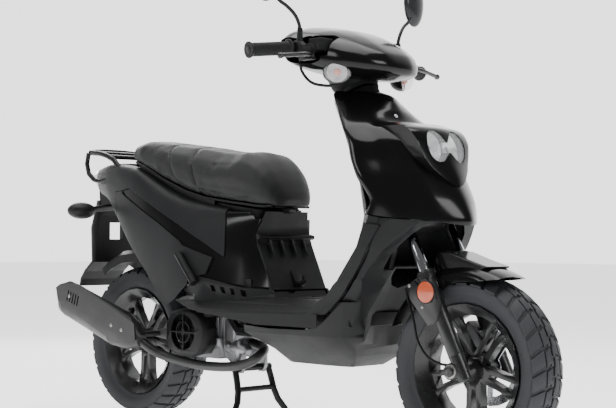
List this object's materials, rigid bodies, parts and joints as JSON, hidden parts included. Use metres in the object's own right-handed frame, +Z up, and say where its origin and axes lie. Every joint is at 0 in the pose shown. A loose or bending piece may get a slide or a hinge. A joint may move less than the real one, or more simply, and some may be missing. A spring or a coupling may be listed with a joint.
{
  "type": "moped scooter",
  "caption": "Step-through moped scooter with gloss covers, telescopic fork, slotted cast wheels, fan-cooled swing unit, rear carrier and centre stand",
  "frame": {"origin": "on the ground under the middle of the vehicle's box", "axes": "+X forward, +Y to the rider's left, +Z up"},
  "size_m": [1.8236, 0.6998, 1.3236],
  "materials": {
    "gloss_black": "gloss black moulded covers",
    "charcoal": "satin charcoal moulded cowl",
    "matte_grey": "grained dark grey plastic",
    "vinyl": "grained black vinyl cover",
    "black_steel": "black painted steel",
    "chrome": "bright plate",
    "silver_alloy": "silver painted alloy castings",
    "black_alloy": "black painted cast wheel",
    "steel_disc": "ground steel",
    "rubber": "black rubber",
    "tyre": "black tyre",
    "clear_lens": "clear moulded lens",
    "red_lens": "red lens",
    "inner_plastic": "plain black plastic"
  },
  "bodies": {
    "frame": {"main_frame": "black_steel", "front_fairing": "gloss_black", "headlight_lens": "clear_lens", "inner_legshield": "matte_grey", "lower_legshield": "matte_grey", "floorboard": "matte_grey", "seat_front_panel": "matte_grey", "center_cover": "gloss_black", "seat_cowl": "charcoal", "rear_cover_right": "gloss_black", "rear_cover_left": "gloss_black", "tail_light": "red_lens", "plate_holder": "matte_grey", "luggage_rack": "black_steel", "helmet_box": "inner_plastic", "fuel_tank": "black_steel"},
    "seat": {"seat_cushion": "vinyl", "seat_base": "inner_plastic"},
    "footrest_right_body": {"footrest_right": "black_steel"},
    "footrest_left_body": {"footrest_left": "black_steel"},
    "steering": {"steering_stem": "black_steel", "fork_tube_right": "chrome", "fork_tube_left": "chrome", "handlebar": "black_steel", "handlebar_cowl": "gloss_black", "front_signal_right": "clear_lens", "front_signal_left": "clear_lens", "left_grip": "rubber", "switch_housing_right": "inner_plastic", "switch_housing_left": "inner_plastic", "control_cable": "inner_plastic"},
    "throttle": {"throttle_grip": "rubber"},
    "lever_right": {"brake_lever_right": "silver_alloy"},
    "lever_left": {"brake_lever_left": "silver_alloy"},
    "mirror_right_body": {"mirror_right": "inner_plastic"},
    "mirror_left_body": {"mirror_left": "inner_plastic"},
    "start_button_body": {"start_button": "rubber"},
    "horn_button_body": {"horn_button": "rubber"},
    "fork_lower": {"fork_slider_right": "black_alloy", "fork_slider_left": "black_alloy", "front_mudguard": "gloss_black", "brake_caliper": "silver_alloy", "speedometer_cable": "inner_plastic"},
    "front_wheel": {"front_rim": "black_alloy", "front_tyre": "tyre", "brake_disc": "steel_disc"},
    "swing_unit": {"engine_case": "silver_alloy", "fan_cover": "inner_plastic", "exhaust": "black_steel", "heat_shield": "black_steel", "rear_mudguard": "inner_plastic", "carburettor": "silver_alloy"},
    "fan": {"cooling_fan": "inner_plastic"},
    "rear_wheel": {"rear_rim": "black_alloy", "rear_tyre": "tyre"},
    "shock_top": {"shock_upper": "chrome", "shock_spring": "chrome"},
    "shock_bottom": {"shock_lower": "black_steel"},
    "stand": {"centre_stand": "black_steel"},
    "kick": {"kick_lever": "chrome"}
  },
  "joints": [
    {"name": "steering", "type": "hinge", "parent": "frame", "child": "steering", "pos_m": [0.65135, 0, 0.22261], "axis": [-0.4462, 0, 0.8949], "range_deg": [-40, 40]},
    {"name": "fork_compression", "type": "slide", "parent": "steering", "child": "fork_lower", "axis": [-0.4462, 0, 0.8949], "range_m": [0, 0.06], "stiffness_N_per_m": 8000, "springref_m": -0.04},
    {"name": "front_wheel_spin", "type": "hinge", "parent": "fork_lower", "child": "front_wheel", "pos_m": [0.6782, 0, 0.236], "axis": [0, 1, 0], "continuous": true},
    {"name": "swing_unit_pivot", "type": "hinge", "parent": "frame", "child": "swing_unit", "pos_m": [-0.1318, 0, 0.3], "axis": [0, 1, 0], "range_deg": [0, 8], "stiffness_Nm_per_rad": 5000, "springref_deg": -2.29, "deforming": ["shock_spring"]},
    {"name": "shock_upper_eye", "type": "hinge", "parent": "frame", "child": "shock_top", "pos_m": [-0.5818, 0.104, 0.63], "axis": [0, 1, 0], "range_deg": [0, 4.8]},
    {"name": "shock_lower_eye", "type": "hinge", "parent": "swing_unit", "child": "shock_bottom", "pos_m": [-0.7068, 0.104, 0.3], "axis": [0, 1, 0], "range_deg": [-3.25, 0]},
    {"name": "rear_wheel_spin", "type": "hinge", "parent": "swing_unit", "child": "rear_wheel", "pos_m": [-0.6418, 0, 0.24], "axis": [0, 1, 0], "continuous": true},
    {"name": "centre_stand_pivot", "type": "hinge", "parent": "swing_unit", "child": "stand", "pos_m": [-0.1568, 0, 0.185], "axis": [0, 1, 0], "range_deg": [0, 75]},
    {"name": "kick_lever_pivot", "type": "hinge", "parent": "swing_unit", "child": "kick", "pos_m": [-0.4218, 0.14, 0.25], "axis": [0, -1, 0], "range_deg": [0, 50], "stiffness_Nm_per_rad": 2, "springref_deg": -14.32},
    {"name": "fan_spin", "type": "hinge", "parent": "swing_unit", "child": "fan", "pos_m": [-0.3168, -0.109, 0.287], "axis": [0, 1, 0], "continuous": true},
    {"name": "seat_hinge", "type": "hinge", "parent": "frame", "child": "seat", "pos_m": [0.01565, 0, 0.648], "axis": [0, 1, 0], "range_deg": [0, 65]},
    {"name": "footrest_right_pivot", "type": "hinge", "parent": "frame", "child": "footrest_right_body", "pos_m": [-0.1868, -0.1984, 0.436], "axis": [0.7239, 0, 0.6899], "range_deg": [0, 90]},
    {"name": "footrest_left_pivot", "type": "hinge", "parent": "frame", "child": "footrest_left_body", "pos_m": [-0.1868, 0.1984, 0.436], "axis": [-0.7239, 0, -0.6899], "range_deg": [0, 90]},
    {"name": "throttle_turn", "type": "hinge", "parent": "steering", "child": "throttle", "pos_m": [0.2232, -0.22, 1.07], "axis": [-0.1948, -0.9739, -0.1169], "range_deg": [0, 75], "stiffness_Nm_per_rad": 0.2, "springref_deg": -17.19},
    {"name": "brake_lever_right_pivot", "type": "hinge", "parent": "steering", "child": "lever_right", "pos_m": [0.2782, -0.192, 1.049], "axis": [0, 0, -1], "range_deg": [0, 18], "stiffness_Nm_per_rad": 1, "springref_deg": -11.46},
    {"name": "brake_lever_left_pivot", "type": "hinge", "parent": "steering", "child": "lever_left", "pos_m": [0.2782, 0.192, 1.049], "axis": [0, 0, 1], "range_deg": [0, 18], "stiffness_Nm_per_rad": 1, "springref_deg": -11.46},
    {"name": "mirror_right_turn", "type": "hinge", "parent": "steering", "child": "mirror_right_body", "pos_m": [0.2402, -0.198, 1.118], "axis": [0, 0, 1], "range_deg": [-30, 30]},
    {"name": "mirror_left_turn", "type": "hinge", "parent": "steering", "child": "mirror_left_body", "pos_m": [0.2402, 0.198, 1.118], "axis": [0, 0, 1], "range_deg": [-30, 30]},
    {"name": "start_button_press", "type": "slide", "parent": "steering", "child": "start_button_body", "axis": [1, 0, 0], "range_m": [0, 0.0025], "stiffness_N_per_m": 400, "springref_m": -0.001},
    {"name": "horn_button_press", "type": "slide", "parent": "steering", "child": "horn_button_body", "axis": [1, 0, 0], "range_m": [0, 0.0025], "stiffness_N_per_m": 400, "springref_m": -0.001}
  ],
  "couplings": [
    {"joint": "shock_upper_eye", "follows": "swing_unit_pivot", "ratio": 0.5975},
    {"joint": "shock_lower_eye", "follows": "swing_unit_pivot", "ratio": -0.4025}
  ]
}
